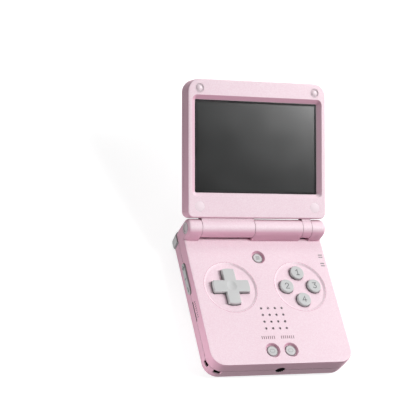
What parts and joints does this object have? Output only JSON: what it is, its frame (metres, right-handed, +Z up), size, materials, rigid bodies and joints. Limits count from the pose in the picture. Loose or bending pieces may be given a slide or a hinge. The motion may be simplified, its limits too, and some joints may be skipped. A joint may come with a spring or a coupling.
{
  "type": "handheld game console",
  "caption": "Clamshell handheld game console, open: square screen in the lid, cross pad and round buttons on the base, shoulder buttons at the hinge.",
  "frame": {"origin": "middle of the base's flat bottom, on the surface that it rests on", "axes": "+X to the player's right, +Y towards the hinge at the rear, +Z up"},
  "size_m": [0.0866, 0.155, 0.0665],
  "materials": {
    "pearl_pink": "pearl satin moulded plastic, pale pink",
    "grey_keys": "light grey satin plastic",
    "pale_rubber": "soft pale rubber",
    "screen_window": "dark polished window",
    "panel": "dark display panel",
    "silver": "polished silver",
    "badge_plate": "dark grey satin",
    "board_green": "green circuit board",
    "battery_foil": "foil wrapped cell",
    "steel": "plain steel",
    "black_plastic": "black moulded plastic",
    "carbon_rubber": "grey silicone rubber",
    "flex": "amber flat cable",
    "light_pipe": "cloudy clear plastic"
  },
  "bodies": {
    "base": {"base_upper_shell": "pearl_pink", "base_lower_shell": "pearl_pink", "main_board": "board_green", "battery": "battery_foil", "speaker": "black_plastic", "audio_jack": "black_plastic", "usb_socket": "steel", "video_socket": "steel", "left_card_slot": "steel", "right_card_slot": "steel", "left_shoulder_switches": "board_green", "right_shoulder_switches": "board_green", "dpad_membrane": "carbon_rubber", "action_membrane": "carbon_rubber", "menu_membrane": "carbon_rubber", "select_start_membrane": "carbon_rubber", "indicator_light_pipe": "light_pipe", "hinge_bush": "steel", "hinge_cap": "grey_keys", "hinge_cartridge": "steel", "case_screw_1": "steel", "case_screw_2": "steel", "case_screw_3": "steel", "case_screw_4": "steel"},
    "lid": {"lid_front_shell": "pearl_pink", "lid_back_shell": "pearl_pink", "screen_window": "screen_window", "display_panel": "panel", "display_ribbon": "flex", "badge_rim": "silver", "badge_plate": "badge_plate", "lid_bumper_1": "pale_rubber", "lid_bumper_2": "pale_rubber", "lid_bumper_3": "pale_rubber", "lid_bumper_4": "pale_rubber", "lid_screw_1": "steel", "lid_screw_2": "steel", "lid_screw_3": "steel", "lid_screw_4": "steel"},
    "dpad_pivot": {"dpad_pivot": "grey_keys"},
    "dpad": {"dpad": "grey_keys"},
    "action_button_up": {"action_button_up": "grey_keys"},
    "action_button_left": {"action_button_left": "grey_keys"},
    "action_button_right": {"action_button_right": "grey_keys"},
    "action_button_down": {"action_button_down": "grey_keys"},
    "menu_button": {"menu_button": "grey_keys"},
    "select_button": {"select_button": "grey_keys"},
    "start_button": {"start_button": "grey_keys"},
    "left_outer_shoulder_button": {"left_outer_shoulder_button": "grey_keys"},
    "left_inner_shoulder_button": {"left_inner_shoulder_button": "grey_keys"},
    "right_outer_shoulder_button": {"right_outer_shoulder_button": "grey_keys"},
    "right_inner_shoulder_button": {"right_inner_shoulder_button": "grey_keys"},
    "volume_rocker": {"volume_rocker": "grey_keys"},
    "power_button": {"power_button": "grey_keys"},
    "reset_button": {"reset_button": "grey_keys"}
  },
  "joints": [
    {"name": "lid_hinge", "type": "hinge", "parent": "base", "child": "lid", "pos_m": [0, 0.0385, 0.02115], "axis": [1, 0, 0], "range_deg": [0, 149.3]},
    {"name": "dpad_roll", "type": "hinge", "parent": "base", "child": "dpad_pivot", "pos_m": [-0.02125, 0.00375, 0.01215], "axis": [0, 1, 0], "range_deg": [-2.3, 2.3], "stiffness_Nm_per_rad": 0.14},
    {"name": "dpad_pitch", "type": "hinge", "parent": "dpad_pivot", "child": "dpad", "pos_m": [-0.02125, 0.00375, 0.01215], "axis": [1, 0, 0], "range_deg": [-2.3, 2.3], "stiffness_Nm_per_rad": 0.14},
    {"name": "action_button_up_press", "type": "slide", "parent": "base", "child": "action_button_up", "axis": [0, 0, -1], "range_m": [0, 0.0008], "stiffness_N_per_m": 1000},
    {"name": "action_button_left_press", "type": "slide", "parent": "base", "child": "action_button_left", "axis": [0, 0, -1], "range_m": [0, 0.0008], "stiffness_N_per_m": 1000},
    {"name": "action_button_right_press", "type": "slide", "parent": "base", "child": "action_button_right", "axis": [0, 0, -1], "range_m": [0, 0.0008], "stiffness_N_per_m": 1000},
    {"name": "action_button_down_press", "type": "slide", "parent": "base", "child": "action_button_down", "axis": [0, 0, -1], "range_m": [0, 0.0008], "stiffness_N_per_m": 1000},
    {"name": "menu_button_press", "type": "slide", "parent": "base", "child": "menu_button", "axis": [0, 0, -1], "range_m": [0, 0.0008], "stiffness_N_per_m": 1000},
    {"name": "select_button_press", "type": "slide", "parent": "base", "child": "select_button", "axis": [0, 0, -1], "range_m": [0, 0.0008], "stiffness_N_per_m": 1000},
    {"name": "start_button_press", "type": "slide", "parent": "base", "child": "start_button", "axis": [0, 0, -1], "range_m": [0, 0.0008], "stiffness_N_per_m": 1000},
    {"name": "left_outer_shoulder_button_press", "type": "slide", "parent": "base", "child": "left_outer_shoulder_button", "axis": [0, -1, 0], "range_m": [0, 0.0009], "stiffness_N_per_m": 1000},
    {"name": "left_inner_shoulder_button_press", "type": "slide", "parent": "base", "child": "left_inner_shoulder_button", "axis": [0, -1, 0], "range_m": [0, 0.0009], "stiffness_N_per_m": 1000},
    {"name": "right_outer_shoulder_button_press", "type": "slide", "parent": "base", "child": "right_outer_shoulder_button", "axis": [0, -1, 0], "range_m": [0, 0.0009], "stiffness_N_per_m": 1000},
    {"name": "right_inner_shoulder_button_press", "type": "slide", "parent": "base", "child": "right_inner_shoulder_button", "axis": [0, -1, 0], "range_m": [0, 0.0009], "stiffness_N_per_m": 1000},
    {"name": "volume_rocker_tip", "type": "hinge", "parent": "base", "child": "volume_rocker", "pos_m": [-0.0402, 0.013, 0.0095], "axis": [0, 0, 1], "range_deg": [-2.5, 2.5], "stiffness_Nm_per_rad": 0.1},
    {"name": "power_button_press", "type": "slide", "parent": "base", "child": "power_button", "axis": [-1, 0, 0], "range_m": [0, 0.0004], "stiffness_N_per_m": 1500},
    {"name": "reset_button_press", "type": "slide", "parent": "base", "child": "reset_button", "axis": [-1, 0, 0], "range_m": [0, 0.0004], "stiffness_N_per_m": 1500}
  ]
}
